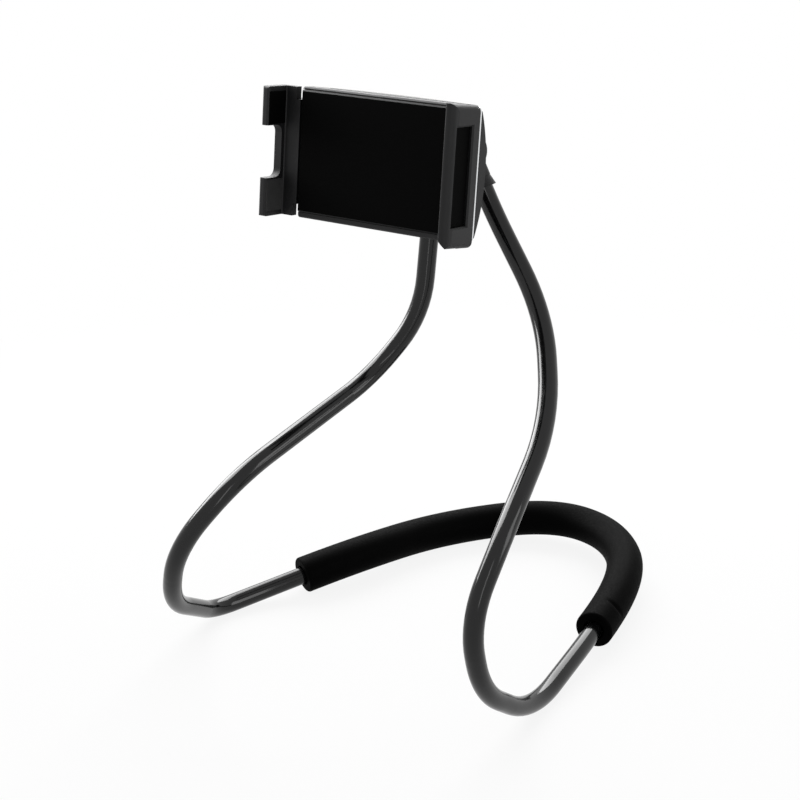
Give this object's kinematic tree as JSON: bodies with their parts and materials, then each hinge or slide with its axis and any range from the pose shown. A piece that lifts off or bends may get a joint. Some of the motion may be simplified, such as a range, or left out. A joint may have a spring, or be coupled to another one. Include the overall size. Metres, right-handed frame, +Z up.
{
  "type": "neck phone holder",
  "caption": "Bendable neck-worn phone holder: a padded rod loop and twin arms carry a sprung phone clamp on a ball joint with a lock nut.",
  "frame": {"origin": "on the table, at the bottom centre of the bounding box", "axes": "+Z up, the clamp's face looks along -Y and slightly up, +X towards the clamp's fixed jaw"},
  "size_m": [0.1401, 0.1838, 0.1995],
  "materials": {
    "rod_plastic": "satin black",
    "core_metal": "drawn wire",
    "foam": "matt black foam",
    "hub_plastic": "satin black",
    "clamp_plastic": "fine grain black",
    "bezel_plastic": "satin black",
    "soft_rubber": "matt black",
    "steel": "bare",
    "plating": "bright plated plastic",
    "copper": "wound wire",
    "ferrite": "dark sheet",
    "board": "green board"
  },
  "bodies": {
    "stand": {"core_wire": "core_metal", "rod_jacket": "rod_plastic", "neck_pad": "foam", "hub_front": "hub_plastic", "hub_back": "hub_plastic", "hub_screw": "steel", "arm_collars": "hub_plastic"},
    "ball": {"ball_stud": "steel"},
    "nut": {"lock_nut": "clamp_plastic"},
    "clamp": {"rear_housing": "clamp_plastic", "front_frame": "clamp_plastic", "face_plate": "bezel_plastic", "face_pad": "soft_rubber", "fixed_jaw_pad": "soft_rubber", "jaw_springs": "steel", "seam_trim": "plating", "housing_screws": "steel", "charging_coil": "copper", "ferrite_sheet": "ferrite", "circuit_board": "board", "usb_socket": "steel"},
    "jaw": {"sliding_jaw": "clamp_plastic", "upper_jaw_pad": "soft_rubber", "lower_jaw_pad": "soft_rubber"}
  },
  "joints": [
    {"name": "ball_spin", "type": "hinge", "parent": "stand", "child": "ball", "pos_m": [0.007, -0.0166, 0.1738], "axis": [0, 1, 0], "continuous": true},
    {"name": "clamp_tilt", "type": "hinge", "parent": "ball", "child": "nut", "pos_m": [0.007, -0.0166, 0.1738], "axis": [1, 0, 0], "range_deg": [-9, 21]},
    {"name": "clamp_turn", "type": "hinge", "parent": "nut", "child": "clamp", "pos_m": [0.007, -0.0166, 0.1738], "axis": [0, 0.9945, -0.1045], "range_deg": [-90, 90]},
    {"name": "jaw_slide", "type": "slide", "parent": "clamp", "child": "jaw", "axis": [-1, 0, 0], "range_m": [0, 0.025], "stiffness_N_per_m": 120, "springref_m": -0.02, "deforming": ["jaw_springs"]}
  ]
}
